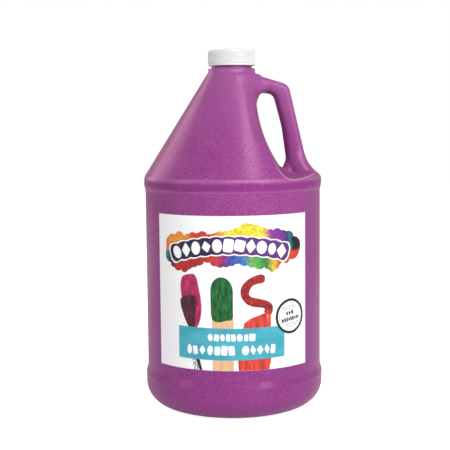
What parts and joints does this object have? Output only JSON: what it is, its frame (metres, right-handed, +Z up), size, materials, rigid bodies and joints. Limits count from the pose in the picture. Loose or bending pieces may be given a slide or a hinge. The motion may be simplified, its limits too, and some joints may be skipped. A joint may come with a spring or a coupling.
{
  "type": "paint jug",
  "caption": "Round blow-moulded paint jug with a hollow side handle, a ribbed screw cap, a wrapped front label and purple glitter paint inside.",
  "frame": {"origin": "centre of the base, on the plane that the jug stands on", "axes": "+Z up along the axis of the body, neck and cap; +X towards the handle; the front label faces -Y"},
  "size_m": [0.1554, 0.1554, 0.3085],
  "materials": {
    "jug_plastic": "satin",
    "glitter_paint": "gloss",
    "foil": "satin",
    "liner_foam": "matte",
    "cap_plastic": "satin",
    "label_paper": "satin"
  },
  "bodies": {
    "jug": {"jug_shell": "jug_plastic", "paint_fill": "glitter_paint", "foil_seal": "foil", "front_label": "label_paper", "rear_label": "label_paper"},
    "liner": {"cap_liner": "liner_foam"},
    "cap": {"cap_shell": "cap_plastic"}
  },
  "joints": [
    {"name": "cap_lift", "type": "slide", "parent": "jug", "child": "liner", "axis": [0, 0, 1], "range_m": [0, 0.0212]},
    {"name": "cap_turn", "type": "hinge", "parent": "liner", "child": "cap", "pos_m": [0, 0, 0.3], "axis": [0, 0, 1], "range_deg": [0, 1800]}
  ],
  "couplings": [
    {"joint": "cap_lift", "follows": "cap_turn", "m_per_rad": 0.0006737}
  ]
}
